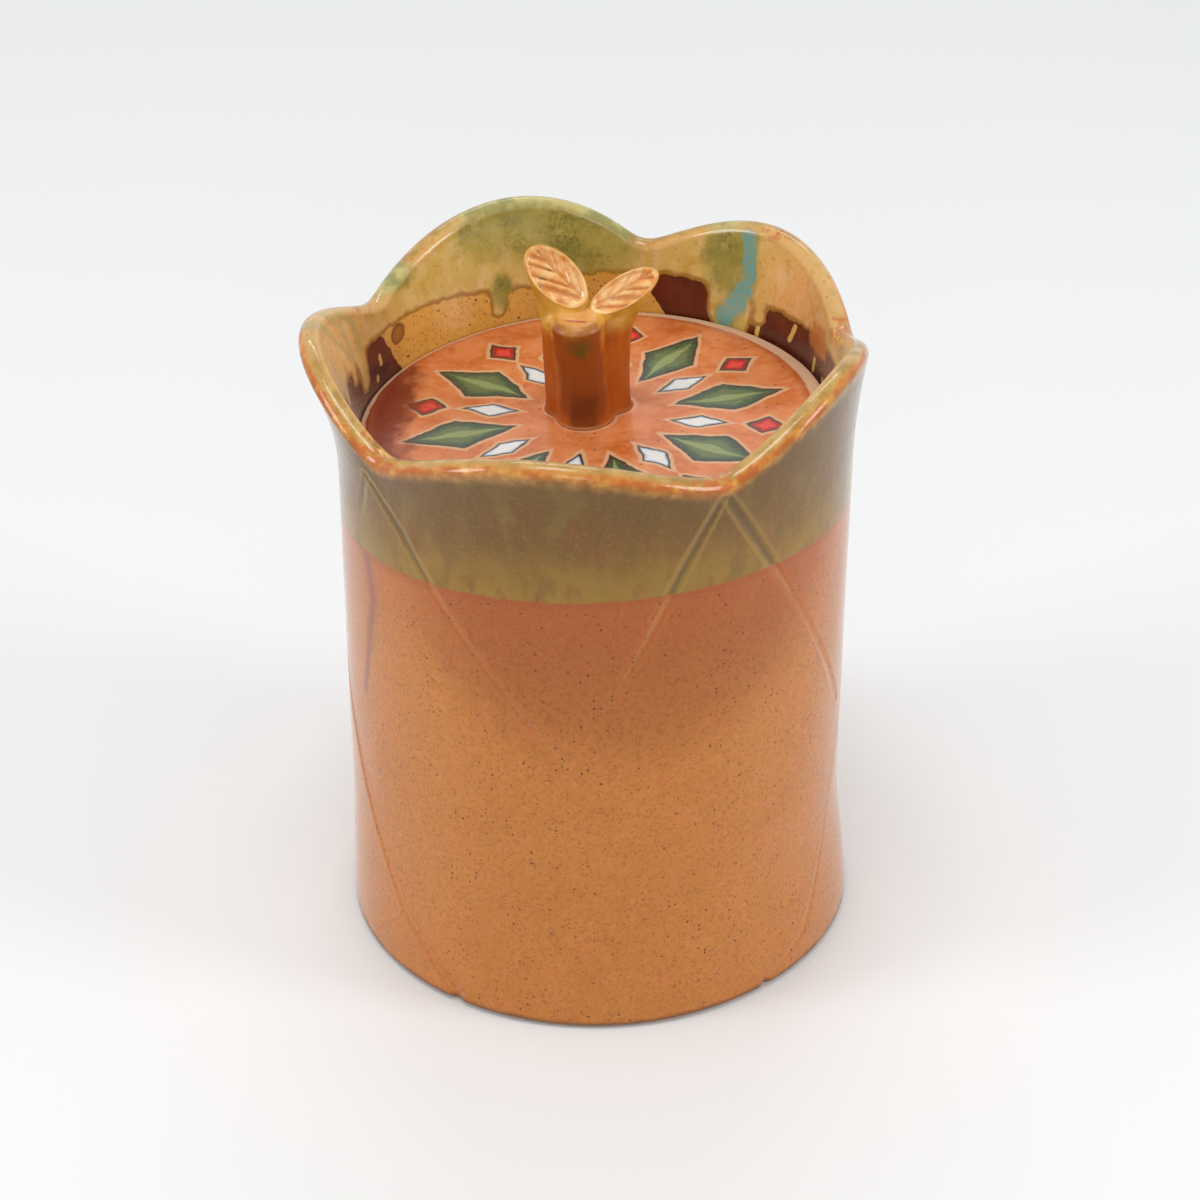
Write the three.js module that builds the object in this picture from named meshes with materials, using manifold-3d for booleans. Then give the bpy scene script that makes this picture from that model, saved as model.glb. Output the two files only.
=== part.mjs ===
// A slab-built stoneware canister with a scalloped rim. Its lid drops inside the rim and is lifted
// by a knob shaped as a sprout of two leaves. Millimetres, +Z up, front at -Y, origin at the centre
// of the underside. Angles round the canister run from the front towards +X.
import * as THREE from "three";
import { mergeVertices } from "three/addons/utils/BufferGeometryUtils.js";
import Module from "manifold-3d";

const wasm = await Module();
wasm.setup();

// Joint line between pieces that touch
const JOINT_GAP = 0.3;

// Wall slab
const WALL_RADIUS = 62.3; // outside, above the foot
const WALL_THICKNESS = 5.5;
const FOOT_SWELL = 0.7; // how far the foot stands out from the wall
const FOOT_SAG = 2.6; // how much further it has sagged out at one side
const FOOT_SAG_ANGLE = 90; // where it has sagged most
const FOOT_HEIGHT = 40; // where the swell and the sag have faded
const FOOT_ROUND = 3; // radius of the bottom outer edge

// Floor
const BASE_THICKNESS = 7;
const COIL_SIZE = 6; // legs of the coved coil in the inside corner

// Scalloped rim: each lobe runs from its own dip to the next lobe's dip
const RIM_HEIGHT = 150; // level from which the dips are measured
const FLARE_LENGTH = 22; // height of the wall below that level which leans out
const DIP_FLARE = 1; // how far even the dips lean out
const LOBE_POINT = 1.2; // above 1 draws the dips in to corners
const LOBES = [
  { name: "front", dipAngle: -52, dipHeight: -2.5, rise: 11.5, flare: 3.8, skew: 1 },
  { name: "right", dipAngle: 28, dipHeight: 1.5, rise: 12.8, flare: 2.2, skew: 1 },
  { name: "back right", dipAngle: 100, dipHeight: 4.5, rise: 11.7, flare: 2.6, skew: 1 },
  { name: "back left", dipAngle: 169, dipHeight: 5, rise: 12.1, flare: 4.3, skew: 0.78 },
  { name: "left", dipAngle: 243.5, dipHeight: 4.1, rise: 13.2, flare: 6.6, skew: 1.04 },
];

// Lid and the ledge that carries it
const LID_DROP = 12; // from the rim's level down to the lid's top
const LID_LEAN = 0.05; // radians by which the lid and its ledge lie out of level, +X side up
const LID_THICKNESS = 6;
const LID_CLEARANCE = 1; // between the lid's edge and the wall
const LID_BEVEL_WIDTH = 3;
const LID_BEVEL_DROP = 0.8;
const LID_ROUND = 1.2; // rounding of the lid's lower edge
const LEDGE_WIDTH = 7;
const LEDGE_LIP = 4; // height of the ledge's inner face
const LEDGE_HEIGHT = 9; // height of the ledge where it joins the wall
const FLANGE_CLEARANCE = 1.2; // between the flange and the ledge
const FLANGE_THICKNESS = 5;
const FLANGE_DEPTH = 9;
const FLANGE_ROUND = 1.5;

// Knob: a cut stalk in front of two leaves, each on its own stalk
const KNOB_X = -1.2; // midway between the two leaf stalks
const KNOB_Y = 4.8;
const STALK_SIDE = -0.8; // from there to the front stalk
const STALK_FRONT = 5.2;
const STALK_RADIUS = 6.4;
const STALK_HEIGHT = 26.5;
const STALK_LEAN = -0.025; // sideways drift per unit of height
const STALK_FOOT_SPREAD = 1.2; // clay smeared outward where the stalk meets the lid
const STALK_WAIST = 0.3; // how much slimmer the stalk is half way up
const STALK_ROUND = 1.3; // rounding of the cut top's edge
const STALK_DIMPLE = 1.2; // depth of the hollow in the cut top
const LEAF_STALK_RADIUS = 4.3;
const LEAF_STALK_SPACING = 11.7; // between the two leaf stalks at the lid
const LEAF_HALF_WIDTH = 5.6;
const LEAF_HALF_THICKNESS = 2.6;
const LEAF_SETBACK = 1.2; // how far the leaf tips lean back from their stalks
const LEAF_FACE = new THREE.Vector3(0, -1, 0.35).normalize(); // the way the blades face
const LEFT_LEAF = { side: -1, height: 42.8, reach: 4.7, draw: 2 };
const RIGHT_LEAF = { side: 1, height: 35.4, reach: 12.3, draw: 4 };

// Facets
const WALL_SEGMENTS = 90;
const RING_SEGMENTS = 72;
const KNOB_SEGMENTS = 20;

// Radii and levels that several pieces share
const INNER_RADIUS = WALL_RADIUS - WALL_THICKNESS;
const FOOT_RADIUS = WALL_RADIUS + FOOT_SWELL;
const LINED_RADIUS = INNER_RADIUS - JOINT_GAP;
const LID_RADIUS = INNER_RADIUS - LID_CLEARANCE;
const LID_UNDERSIDE = JOINT_GAP; // above the ledge's top
const LID_TOP = LID_UNDERSIDE + LID_THICKNESS;
const KNOB_FOOT = LID_TOP + JOINT_GAP;
const LEDGE_BORE = INNER_RADIUS - LEDGE_WIDTH;
const FLANGE_RADIUS = LEDGE_BORE - FLANGE_CLEARANCE;

const RED_CLAY = new THREE.Color(0.62, 0.36, 0.2);
const SPECKLED_GLAZE = new THREE.Color(0.72, 0.45, 0.24);
const LID_GLAZE = new THREE.Color(0.74, 0.4, 0.24);
const STALK_GLAZE = new THREE.Color(0.58, 0.3, 0.1);
const LEAF_GLAZE = new THREE.Color(0.78, 0.53, 0.26);
const GLOSSY = 0.2;
const MATT = 0.8;

function piece(name, geometry, color, roughness) {
  const material = new THREE.MeshStandardMaterial({ color, roughness, metalness: 0 });
  const mesh = new THREE.Mesh(geometry, material);
  mesh.name = name;
  return mesh;
}

// Points on a circle in the profile plane, from one angle in degrees to another.
function arc(radius, height, size, from, to, steps) {
  return Array.from({ length: steps + 1 }, (_, step) => {
    const angle = THREE.MathUtils.degToRad(from + ((to - from) * step) / steps);
    return [radius + size * Math.cos(angle), height + size * Math.sin(angle)];
  });
}

// Turns a profile of [radius, height] points round the Z axis, starting at the front.
function turned(profile, segments) {
  const points = profile.map(([radius, height]) => new THREE.Vector2(radius, height));
  return new THREE.LatheGeometry(points, segments).rotateX(Math.PI / 2);
}

// Moves every vertex of a geometry to where place() puts it.
function reshaped(geometry, place) {
  const position = geometry.attributes.position;
  const vertex = new THREE.Vector3();
  for (let index = 0; index < position.count; index += 1) {
    vertex.fromBufferAttribute(position, index);
    place(vertex);
    position.setXYZ(index, vertex.x, vertex.y, vertex.z);
  }
  geometry.computeVertexNormals();
  return geometry;
}

function toSolid(geometry) {
  const bare = geometry.clone();
  bare.deleteAttribute("normal");
  bare.deleteAttribute("uv");
  const merged = mergeVertices(bare);
  const vertProperties = new Float32Array(merged.attributes.position.array);
  const triVerts = new Uint32Array(merged.index.array);
  return new wasm.Manifold(new wasm.Mesh({ numProp: 3, vertProperties, triVerts }));
}

function toGeometry(solid) {
  const { vertProperties, triVerts } = solid.getMesh();
  const geometry = new THREE.BufferGeometry();
  geometry.setAttribute("position", new THREE.BufferAttribute(vertProperties, 3));
  geometry.setIndex(new THREE.BufferAttribute(triVerts, 1));
  geometry.computeVertexNormals();
  return geometry;
}

// The rim's rise above RIM_HEIGHT and its lean outward, at an angle in degrees from the front.
function rimAt(angle) {
  const first = LOBES[0].dipAngle;
  const turn = THREE.MathUtils.euclideanModulo(angle - first, 360) + first;
  const index = LOBES.findLastIndex((lobe) => lobe.dipAngle <= turn);
  const lobe = LOBES[index];
  const next = LOBES[(index + 1) % LOBES.length];
  const end = index + 1 < LOBES.length ? next.dipAngle : next.dipAngle + 360;
  const along = (turn - lobe.dipAngle) / (end - lobe.dipAngle);
  const swell = Math.sin(Math.PI * along ** lobe.skew);
  const dip = THREE.MathUtils.lerp(lobe.dipHeight, next.dipHeight, along);
  return { rise: dip + lobe.rise * swell ** LOBE_POINT, flare: DIP_FLARE + lobe.flare * swell };
}

// How far the foot has sagged out at an angle in degrees from the front and a height.
function sagAt(angle, height) {
  const facing = Math.cos(THREE.MathUtils.degToRad(angle - FOOT_SAG_ANGLE));
  return FOOT_SAG * Math.max(0, facing) ** 4 * (1 - THREE.MathUtils.smoothstep(height, 0, FOOT_HEIGHT));
}

function wallSlab() {
  const lipSize = WALL_THICKNESS / 2;
  const lipHeight = RIM_HEIGHT - lipSize;
  const flareStart = RIM_HEIGHT - FLARE_LENGTH;
  const footSide = [0.4, 0.7, 1].map((share) => {
    const faded = THREE.MathUtils.smoothstep(share, 0, 1);
    return [FOOT_RADIUS - FOOT_SWELL * faded, FOOT_HEIGHT * share];
  });
  const flareHeights = [0, 0.3, 0.55, 0.8].map((share) => {
    return THREE.MathUtils.lerp(flareStart, lipHeight, share);
  });
  const profile = [
    [INNER_RADIUS, 0],
    ...arc(FOOT_RADIUS - FOOT_ROUND, FOOT_ROUND, FOOT_ROUND, -90, 0, 4),
    ...footSide,
    ...flareHeights.map((height) => [WALL_RADIUS, height]),
    ...arc(WALL_RADIUS - lipSize, lipHeight, lipSize, 0, 180, 6),
    ...flareHeights.toReversed().map((height) => [INNER_RADIUS, height]),
    [INNER_RADIUS, 0],
  ];
  return reshaped(turned(profile, WALL_SEGMENTS), (vertex) => {
    const share = THREE.MathUtils.clamp((vertex.z - flareStart) / (lipHeight - flareStart), 0, 1);
    const radius = Math.hypot(vertex.x, vertex.y);
    const angle = THREE.MathUtils.radToDeg(Math.atan2(vertex.x, -vertex.y));
    const { rise, flare } = rimAt(angle);
    const outside = radius > INNER_RADIUS + JOINT_GAP ? 1 : 0;
    const spread = 1 + (flare * share ** 2 + outside * sagAt(angle, vertex.z)) / radius;
    vertex.set(vertex.x * spread, vertex.y * spread, vertex.z + rise * share);
  });
}

function baseSlab() {
  const profile = [
    [0, 0],
    [LINED_RADIUS, 0],
    [LINED_RADIUS, BASE_THICKNESS],
    [0, BASE_THICKNESS],
  ];
  return turned(profile, RING_SEGMENTS);
}

function cornerCoil() {
  const floor = BASE_THICKNESS + JOINT_GAP;
  const profile = [
    [LINED_RADIUS, floor],
    ...arc(LINED_RADIUS - COIL_SIZE, floor + COIL_SIZE, COIL_SIZE, 0, -90, 4),
    [LINED_RADIUS, floor],
  ];
  return turned(profile, RING_SEGMENTS);
}

// The ledge leans inside an upright wall, so it is turned a little smaller than the wall's bore.
function lidLedge() {
  const radius = LINED_RADIUS - LEDGE_HEIGHT * Math.sin(LID_LEAN);
  const profile = [
    [LEDGE_BORE, -LEDGE_LIP],
    [radius, -LEDGE_HEIGHT],
    [radius, 0],
    [LEDGE_BORE, 0],
    [LEDGE_BORE, -LEDGE_LIP],
  ];
  return turned(profile, RING_SEGMENTS);
}

function lidDisc() {
  const profile = [
    [0, LID_UNDERSIDE],
    ...arc(LID_RADIUS - LID_ROUND, LID_UNDERSIDE + LID_ROUND, LID_ROUND, -90, 0, 2),
    [LID_RADIUS, LID_TOP - 2 * LID_BEVEL_DROP],
    [LID_RADIUS - LID_BEVEL_DROP, LID_TOP - LID_BEVEL_DROP],
    [LID_RADIUS - LID_BEVEL_WIDTH, LID_TOP],
    [0, LID_TOP],
  ];
  return turned(profile, RING_SEGMENTS);
}

function lidFlange() {
  const bore = FLANGE_RADIUS - FLANGE_THICKNESS;
  const profile = [
    [bore, -FLANGE_DEPTH],
    ...arc(FLANGE_RADIUS - FLANGE_ROUND, FLANGE_ROUND - FLANGE_DEPTH, FLANGE_ROUND, -90, 0, 2),
    [FLANGE_RADIUS, 0],
    [bore, 0],
    [bore, -FLANGE_DEPTH],
  ];
  return turned(profile, RING_SEGMENTS);
}

// The front stalk, or the space it needs when its outside is grown by a clearance.
function frontStalk(clearance) {
  const radius = STALK_RADIUS + clearance;
  const top = STALK_HEIGHT + clearance;
  const profile = [
    [0, -clearance],
    [radius + STALK_FOOT_SPREAD, -clearance],
    [radius, STALK_FOOT_SPREAD],
    [radius - STALK_WAIST, STALK_HEIGHT / 2],
    ...arc(radius - STALK_ROUND, top - STALK_ROUND, STALK_ROUND, 0, 90, 3),
    [radius / 2, top - STALK_DIMPLE / 2],
    [0, top - STALK_DIMPLE],
  ];
  return reshaped(turned(profile, KNOB_SEGMENTS), (vertex) => {
    vertex.x += KNOB_X + STALK_SIDE + STALK_LEAN * vertex.z;
    vertex.y += KNOB_Y - STALK_FRONT;
  });
}

// A leaf on its stalk: a round section, level at the foot, that climbs along a curve and flattens
// into a blade. It is drawn in towards the other leaf on the way up, and its tip reaches out past
// its foot.
function leaf({ side, height, reach, draw }) {
  const bladeStart = 0.35; // shares of the way from foot to tip
  const bladeFull = 0.66;
  const rows = [0, 0.2, bladeStart, 0.46, 0.56, bladeFull, 0.76, 0.85, 0.92, 0.97];
  const footX = KNOB_X + (side * LEAF_STALK_SPACING) / 2;
  const foot = new THREE.Vector3(footX, KNOB_Y, 0);
  const bend = new THREE.Vector3(footX - side * draw, KNOB_Y - LEAF_SETBACK, height * bladeFull);
  const tip = new THREE.Vector3(footX + side * reach, KNOB_Y + LEAF_SETBACK, height);
  const spine = new THREE.QuadraticBezierCurve3(foot, bend, tip);
  const profile = [[0, 0], ...rows.map((row) => [1, row]), [0, 1]];
  return reshaped(turned(profile, KNOB_SEGMENTS), (vertex) => {
    const along = vertex.z;
    const spread = THREE.MathUtils.smoothstep(along, bladeStart, bladeFull);
    const past = Math.max(0, (along - bladeFull) / (1 - bladeFull));
    const rounding = Math.sqrt(1 - past ** 2);
    const halfWidth = THREE.MathUtils.lerp(LEAF_STALK_RADIUS, LEAF_HALF_WIDTH, spread) * rounding;
    const halfThickness = THREE.MathUtils.lerp(LEAF_STALK_RADIUS, LEAF_HALF_THICKNESS, spread) * rounding;
    const turn = THREE.MathUtils.smoothstep(along, 0, bladeStart);
    const heading = new THREE.Vector3(0, 0, 1).lerp(spine.getTangent(along), turn).normalize();
    const across = new THREE.Vector3().crossVectors(LEAF_FACE, heading).normalize();
    const outward = new THREE.Vector3().crossVectors(heading, across);
    const sideways = across.multiplyScalar(vertex.x * halfWidth);
    const through = outward.multiplyScalar(vertex.y * halfThickness);
    vertex.copy(spine.getPoint(along)).add(sideways).add(through);
  });
}

// A leaf's stalk is pressed against the front stalk, so it is cut to that stalk's outline.
function pressedLeaf(shape) {
  const room = toSolid(frontStalk(JOINT_GAP));
  return toGeometry(toSolid(leaf(shape)).subtract(room));
}

const canister = new THREE.Group();
canister.add(
  piece("wall_slab", wallSlab(), SPECKLED_GLAZE, GLOSSY),
  piece("base_slab", baseSlab(), RED_CLAY, MATT),
  piece("corner_coil", cornerCoil(), RED_CLAY, MATT),
);

const knob = new THREE.Group();
knob.position.z = KNOB_FOOT;
knob.add(
  piece("knob_stalk", frontStalk(0), STALK_GLAZE, GLOSSY),
  piece("knob_left_leaf", pressedLeaf(LEFT_LEAF), LEAF_GLAZE, GLOSSY),
  piece("knob_right_leaf", pressedLeaf(RIGHT_LEAF), LEAF_GLAZE, GLOSSY),
);

// The lid and its ledge share one leaning group, with z = 0 at the ledge's top.
const lidSeat = new THREE.Group();
lidSeat.position.z = RIM_HEIGHT - LID_DROP - LID_TOP;
lidSeat.rotation.y = -LID_LEAN;
lidSeat.add(
  piece("lid_ledge", lidLedge(), RED_CLAY, MATT),
  piece("lid_disc", lidDisc(), LID_GLAZE, GLOSSY),
  piece("lid_flange", lidFlange(), RED_CLAY, MATT),
  knob,
);
canister.add(lidSeat);

export default canister;
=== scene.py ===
"""Looks of a slab-built stoneware canister with a scalloped rim and a lift-off lid.

Sizes are in millimetres and angles in degrees round the canister, from the front towards +X,
until a mesh is made. Fine surfaces replace the plain solids; the glazes are procedural.
"""
import math

import bpy
import numpy as np
from mathutils import Matrix, Vector
from mathutils.bvhtree import BVHTree


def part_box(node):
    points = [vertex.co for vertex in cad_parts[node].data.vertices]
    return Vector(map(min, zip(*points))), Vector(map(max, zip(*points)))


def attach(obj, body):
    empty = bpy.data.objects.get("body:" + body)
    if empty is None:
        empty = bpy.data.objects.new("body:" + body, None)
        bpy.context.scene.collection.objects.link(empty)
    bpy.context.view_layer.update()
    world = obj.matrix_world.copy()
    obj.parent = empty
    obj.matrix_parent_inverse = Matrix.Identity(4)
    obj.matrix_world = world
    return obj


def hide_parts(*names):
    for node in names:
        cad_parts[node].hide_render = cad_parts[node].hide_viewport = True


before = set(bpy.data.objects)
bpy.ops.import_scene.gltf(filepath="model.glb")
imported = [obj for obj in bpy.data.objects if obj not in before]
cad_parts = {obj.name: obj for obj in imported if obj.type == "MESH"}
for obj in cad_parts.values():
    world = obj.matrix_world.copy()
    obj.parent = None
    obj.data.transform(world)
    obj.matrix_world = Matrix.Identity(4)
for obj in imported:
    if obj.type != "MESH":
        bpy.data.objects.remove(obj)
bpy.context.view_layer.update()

MM = 0.001


def node_reach(node):
    """How far a node reaches at the back, and its lowest and highest level, in millimetres."""
    low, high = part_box(node)
    return high[1] / MM, low[2] / MM, high[2] / MM


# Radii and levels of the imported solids; a lean about the Y axis leaves the reach along Y as it is
JOINT_GAP = 0.3
LINED_RADIUS, _, BASE_THICKNESS = node_reach("base_slab")
_, COIL_FOOT, COIL_TOP = node_reach("corner_coil")
LEDGE_RADIUS, _, _ = node_reach("lid_ledge")
LID_RADIUS, _, _ = node_reach("lid_disc")
FLANGE_RADIUS, _, _ = node_reach("lid_flange")

# Wall slab
WALL_THICKNESS = 5.5
FOOT_SWELL = 0.7
FOOT_SAG = 2.6
FOOT_SAG_ANGLE = 90
FOOT_HEIGHT = 40
FOOT_ROUND = 1.6
FOOT_UNDERCUT = 4
RIM_HEIGHT = 150
FLARE_LENGTH = 22
DIP_FLARE = 1
LOBE_POINT = 1.2
RIM_SOFTENING = 2.6  # degrees over which the dips between lobes are rounded
SURFACE_INSET = 0.1  # keeps the surface inside the solid's box
INSIDE_WAVES = 0.35  # how uneven the inside is, as a share of the outside
WAVES_FADE = 15  # the waves fade out below this level
# Slow waves: size, count round the canister, start and drift per millimetre up in radians
SLAB_WAVES = ((0.2, 2, 0.9, 0.012), (0.14, 3, -0.4, 0.03), (0.06, 7, 1.7, 0.05), (0.03, 11, 0, -0.13))
CREST_BLEND = 0.2  # how far from the lip's crest outside turns into inside
WELL_TOP = 118  # the inside's mesh is coarser below this level
# Each lobe: angle and height of its first dip, then its rise, lean outward and skew
LOBES = (
    (-52, -2.5, 11.5, 3.8, 1.0),
    (28, 1.5, 12.8, 2.2, 1.0),
    (100, 4.5, 11.7, 2.6, 1.0),
    (169, 5.0, 12.1, 4.3, 0.78),
    (243.5, 4.1, 13.2, 6.6, 1.04),
)
INNER_RADIUS = LINED_RADIUS + JOINT_GAP
WALL_RADIUS = INNER_RADIUS + WALL_THICKNESS
LIP = WALL_THICKNESS / 2
LIP_HEIGHT = RIM_HEIGHT - LIP
FLARE_START = RIM_HEIGHT - FLARE_LENGTH

# Base, lid, ledge and flange
BASE_ROUND = 0.4
LID_DROP = 12
LID_LEAN = 0.05
LID_THICKNESS = 6
LID_BEVEL_DROP = 0.8
LID_BARE_WIDTH = 2.7
LID_SPREAD = 0.75  # how far the clay edge stands out past the plain disc
LID_FOOT_ROUND = 1.2
LID_FACE_SHIFT = -1.4  # the glazed face lies a little to the left on the lid
LID_FACE_DROP = 0.35  # how far its edge lies under the lid's top
LID_PILLOW = 0.25  # how far it rises from its edge
LID_PILLOW_WIDTH = 2.5
LEDGE_WIDTH = 7
LEDGE_LIP = 4
LEDGE_HEIGHT = 9
LEDGE_ROUND = 1
FLANGE_THICKNESS = 5
FLANGE_DEPTH = 9
FLANGE_ROUND = 1.5
LID_EDGE = LID_RADIUS + LID_SPREAD
LID_TOP = JOINT_GAP + LID_THICKNESS
LEDGE_BORE = INNER_RADIUS - LEDGE_WIDTH
SEAT = Matrix.Translation((0, 0, RIM_HEIGHT - LID_DROP - LID_TOP)) @ Matrix.Rotation(-LID_LEAN, 4, "Y")

# Knob, in the lid's leaning frame with z = 0 at its foot
KNOB_X = -1.2
KNOB_Y = 4.8
STALK_SIDE = -0.8
STALK_FRONT = 5.2
STALK_RADIUS = 6.4
STALK_HEIGHT = 26.5
STALK_LEAN = -0.025
STALK_WAIST = 0.3
STALK_ROUND = 2.2
STALK_DISH = 0.3
CUT_TOP_EDGE = (1, 2.6)  # how far inside the stalk's radius the cut top sets in
CREASE_DEPTH = 0.7
CREASE_FRONT = 1  # how far in front of the cut top's middle it runs
CREASE_SLOPE = 0.25
CREASE_HALF_LENGTH = 2.6
CREASE_HALF_WIDTH = 0.6
STALK_Y = KNOB_Y - STALK_FRONT
FOOT_SMEAR = 0.6
FOOT_SMEAR_HEIGHT = 0.9
# The olive run on the front stalk, pointed below and wider above
RUN_SIDE = 0.3
RUN_LEVEL = 21
RUN_HALF_HEIGHT = 3
RUN_POINT_LEVEL = 17.5
RUN_POINT_HALF_WIDTH = 1
RUN_WIDENING = 0.6
LEAF_STALK_RADIUS = 4.3
LEAF_STALK_SPACING = 11.7
# Each leaf: its side, the middle of its cut face, half the face towards its tip and across it
LEAVES = (
    (-1, (-7.0, 4.3, 35.1), (-6.2, 1.4, 7.0), (3.9, 2.5, 2.75)),
    (1, (8.9, 4.3, 30.6), (8.1, 1.7, 4.0), (-1.8, 2.5, 2.5)),
)
LEAF_BEND = 0.75  # where a leaf's stalk bends, as a share of its height
LEAF_SPREAD = 0.5  # where it begins to spread
# The cut face's relief from its middle to its rim: share of the outline and rise above the cut
FACE_RELIEF = ((0, -0.7), (0.5, -0.6), (0.76, -0.25), (0.87, 0.35), (0.95, 0.45), (1, 0))
FACE_STEPS = 44
FACE_SKIN = 1.5  # how far below the cut a point still belongs to the face
FACE_EDGE = (1, 0.9)  # shares of the outline between which the face's glaze sets in
VEIN_ENDS = (0.92, 0.76)  # and its veins
VEIN_SPACING = 4.4
VEIN_HALF_WIDTH = 0.5
VEIN_DEPTH = 0.55
VEIN_SWEEP = 1.9  # how far a side vein climbs for each step away from the midrib
VEIN_WANDER = 0.1  # how unevenly the side veins are spaced
VEIN_WANDER_RATE = 4
INNER_VEINS = 0.55  # how deep they are on a leaf's inner half, as a share
MIDRIB_ASIDE = 0.2  # where the midrib runs, as a share of half the face across
MIDRIB_BLEND = 1.5  # how far from the midrib one half turns into the other
WELD = 2.6  # how near two stalks have to be for their clay to run together

# Scored lines: points as (angle, height), depth at the start and at the end
SCORES = (
    (((-56, 142), (-45.5, 132), (-5.3, 78)), 0.4, 0.35),
    (((27, 148), (-9.7, 69)), 0.45, 0.2),
    (((28, 148), (74, 68)), 0.45, 0.3),
    (((-56, 142), (-63, 124)), 0.3, 0.0),
    (((-112, 116), (-78, 67), (-50, 21), (-34, 4)), 0.1, 0.75),
    (((100, 108), (65, 28), (55, 10), (43, 3)), 0.08, 0.4),
    (((43, 3), (33, 15)), 0.25, 0.0),
    (((101, 150), (152, 70)), 0.4, 0.3),
    (((168, 152), (124, 74)), 0.4, 0.3),
    (((170, 152), (216, 70)), 0.4, 0.25),
    (((243, 151), (203, 78)), 0.4, 0.3),
)
SCORE_HALF_WIDTH = 0.65
SCORE_WANDER = 0.25  # how far a line strays from its path
SCORE_WANDER_RATE = 9  # radians of straying along a line
SCORED_ROWS = (-1, -5)  # rows below the lip's crest between which lines set in
RIDGE_AWAY = 1.6  # how far from a line its raised edge lies
RIDGE_HALF_WIDTH = 0.6
RIDGE_HEIGHT = 0.25  # as a share of the line's depth
# Where two lines have chipped the foot: (angle, height, half width in degrees, half height)
FOOT_CHIPS = ((-33.2, 2, 1.3, 3), (42.5, 1.5, 1, 2))
CHIP_DEPTH = 1.1

# Glaze edges on the outside
OLIVE_LEVEL = 118.6
OLIVE_SWING = 6
OLIVE_HIGH_ANGLE = 25
# The redder patch in front is an oval: its middle, half width in degrees and half height
TONE_PATCH = (8, 120, 47, 41)
PINK_STREAK = ((-59.3, 117), (-57.3, 107), (-60.2, 94), (-63.9, 77))
STREAK_HALF_WIDTHS = (2.2, 1)  # at its top and at its end

# Glaze on the inside of the rim: runs are (angle, half width, length)
DRIP_LEVEL = 147.5
DRIP_WAVES = ((1.2, 2, 3.5, 0), (0.8, 5, 0, 0))  # of the glaze's edge
DRIP_RUNS = (
    (-155, 2.2, 9.5), (-165, 3, 3), (143.9, 6.7, 12.3), (134.5, 1.9, 6), (-104.3, 2.6, 10.5),
    (-98, 1.5, 5.5), (-86, 2.2, 5), (-62, 2.8, 8), (-33, 2.2, 6), (-8, 3.6, 9), (22, 2, 6), (48, 2.8, 8),
    (77, 2.2, 6), (90, 2, 4),
)
RUN_ROOT = 5  # how far above the glaze's edge a run begins
DRIP_FILLET = 2.2  # how softly a run leaves that edge
CHOCOLATE_ZONES = ((131, 37), (-88.25, 26.25), (23, 35))  # middle and half width in degrees
CHOCOLATE_SLANT = -0.6
# Patches are (angle, height, half width in degrees, half height)
PATCHES = {
    "green": (
        (-178, 158, 14, 13), (-164, 163, 20, 11), (-156, 145, 3, 5), (-125, 157, 8, 3), (62, 157, 9, 5),
        (146.5, 157, 6.5, 12),
    ),
    "blush": ((-97, 157, 17, 13), (-20, 150, 14, 8), (70, 150, 9, 8), (120, 155, 17, 12)),
    "rust": ((-40, 146, 7, 5), (109, 148, 8, 5.5)),
    "spot": ((-122, 144.2, 3, 2.6), (30, 138, 2.4, 2.2)),
    "burn": (
        (-109, 153, 3, 6), (-53, 147, 7, 7), (27, 150, 8, 7), (100, 153, 7, 6), (133, 165, 3.5, 3),
        (169, 154, 5, 5),
    ),
}
# Strokes are half the brush's width and paths of (angle, height) points
STROKES = {
    "streaks": (1.3, (
        ((-87, 163.4), (-89.2, 162.4), (-95.6, 153.6), (-99.6, 147.8)),
        ((-94.8, 161.9), (-99, 157), (-100.6, 148.8)),
        ((-100, 159.3), (-104.8, 155.1), (-105.4, 147.5)),
    )),
    "teal": (2.9, (((140.8, 164), (138.6, 153)), ((139.8, 149), (145, 140.5)))),
    "grains": (0.75, (
        ((-113, 142), (-113.4, 140)), ((-111, 137.5), (-111, 136.6)), ((121, 146.5), (123, 142)),
        ((110.5, 142.5), (110.8, 139.5)), ((104.5, 140), (104.2, 137)), ((134.5, 143), (135, 137)),
    )),
}

# Painted ring on the lid: lozenges are (distance from the middle, half length, half width)
RING_COUNT = 8  # of each colour
RING_START = 0.2  # in radians
GREEN_LOZENGE = (33, 13.5, 7)
GREEN_CORE = (32, 10, 1.5)
RED_LOZENGE = (41.5, 5, 4)
WHITE_LOZENGE = (25.5, 7, 3)

# Camera, floor and light: places and sizes in metres, powers in watts
CAMERA_PLACE = (0.00124, -0.65, 0.4958)
CAMERA_PITCH = 0.563  # in radians, down from level
CAMERA_LENS = 92.58
FLOOR_HALF = 4
FLOOR_FADE = (0.72, 1.05)  # how far from the part the floor runs into the white
TENT_LIGHT = 0.54  # the strength of the world as a light
LIGHT_TARGET = (0, 0, 0.1)
# Each box: name, place, width, depth and power
SOFT_BOXES = (
    ("overhead", (-0.1, -0.2, 1.4), 0.45, 0.45, 4.4),
    ("front", (0, -1.3, 0.55), 0.5, 0.5, 1.9),
    ("left", (-1.2, -0.4, 0.55), 0.4, 0.6, 5.5),
    ("right", (1.2, -0.4, 0.55), 0.4, 0.6, 6),
    ("back", (0, 1.0, 1.35), 0.9, 0.12, 3.2),
)

# Fineness of the meshes: columns round each piece, and rows
WALL_COLUMNS = 640
RING_COLUMNS = 240
LID_COLUMNS = 360
LID_FACE_ROWS = 80
KNOB_COLUMNS = 160
STALK_ROWS = 70


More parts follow.
